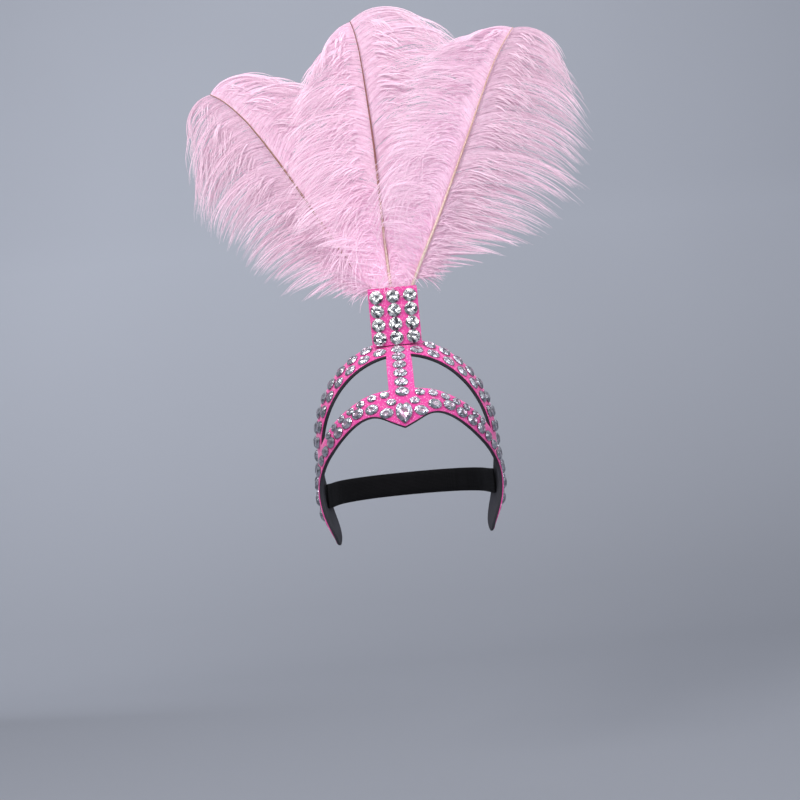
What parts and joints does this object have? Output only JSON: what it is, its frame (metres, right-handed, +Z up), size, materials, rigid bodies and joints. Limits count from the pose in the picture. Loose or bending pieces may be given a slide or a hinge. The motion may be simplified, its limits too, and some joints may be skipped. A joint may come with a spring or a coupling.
{
  "type": "carnival feather headdress",
  "caption": "Felt-faced headdress frame with glued glass stones, an upright holder for ostrich plumes and an elastic strap.",
  "frame": {"origin": "inside the head, on the centre line, at the height of the strap's upper edge", "axes": "+Z up to the plume tips, +X to the right of the front view, the front faces -Y"},
  "size_m": [0.4143, 0.1959, 0.5275],
  "materials": {
    "pink_felt": "hot pink felt with fine glitter",
    "dark_foam": "dark craft foam, matt",
    "cut_glass": "clear cut glass with a silver foil back",
    "black_elastic": "black woven elastic",
    "feather_shaft": "feather shaft, horn-like, satin",
    "pink_feather": "pale pink dyed ostrich feather"
  },
  "bodies": {
    "root": {"arch_front_row_left": "cut_glass", "arch_front_row_right": "cut_glass", "arch_rear_row_left": "cut_glass", "arch_rear_row_right": "cut_glass", "bar_stone_1": "cut_glass", "bar_stone_2": "cut_glass", "bar_stone_3": "cut_glass", "bar_stone_4": "cut_glass", "bar_stone_5": "cut_glass", "bar_stone_6": "cut_glass", "brow_row_left": "cut_glass", "brow_row_right": "cut_glass", "brow_stone_left_1": "cut_glass", "brow_stone_left_2": "cut_glass", "brow_stone_left_3": "cut_glass", "brow_stone_left_4": "cut_glass", "brow_stone_left_5": "cut_glass", "brow_stone_left_6": "cut_glass", "brow_stone_left_7": "cut_glass", "brow_stone_right_1": "cut_glass", "brow_stone_right_2": "cut_glass", "brow_stone_right_3": "cut_glass", "brow_stone_right_4": "cut_glass", "brow_stone_right_5": "cut_glass", "brow_stone_right_6": "cut_glass", "brow_stone_right_7": "cut_glass", "flank_stone_left": "cut_glass", "flank_stone_right": "cut_glass", "frame_backing": "dark_foam", "frame_facing": "pink_felt", "heart_stone": "cut_glass", "holder_backing": "dark_foam", "holder_facing": "pink_felt", "holder_rear": "dark_foam", "holder_stone_1_1": "cut_glass", "holder_stone_1_2": "cut_glass", "holder_stone_1_3": "cut_glass", "holder_stone_2_1": "cut_glass", "holder_stone_2_2": "cut_glass", "holder_stone_2_3": "cut_glass", "holder_stone_3_1": "cut_glass", "holder_stone_3_2": "cut_glass", "holder_stone_3_3": "cut_glass", "holder_stone_4_1": "cut_glass", "holder_stone_4_2": "cut_glass", "holder_stone_4_3": "cut_glass", "plume_centre": "pink_feather", "plume_left": "pink_feather", "plume_right": "pink_feather", "quill_centre": "feather_shaft", "quill_left": "feather_shaft", "quill_right": "feather_shaft", "strap": "black_elastic", "tab_middle_row_left": "cut_glass", "tab_middle_row_right": "cut_glass", "tab_row_left": "cut_glass", "tab_row_right": "cut_glass"}
  },
  "joints": []
}
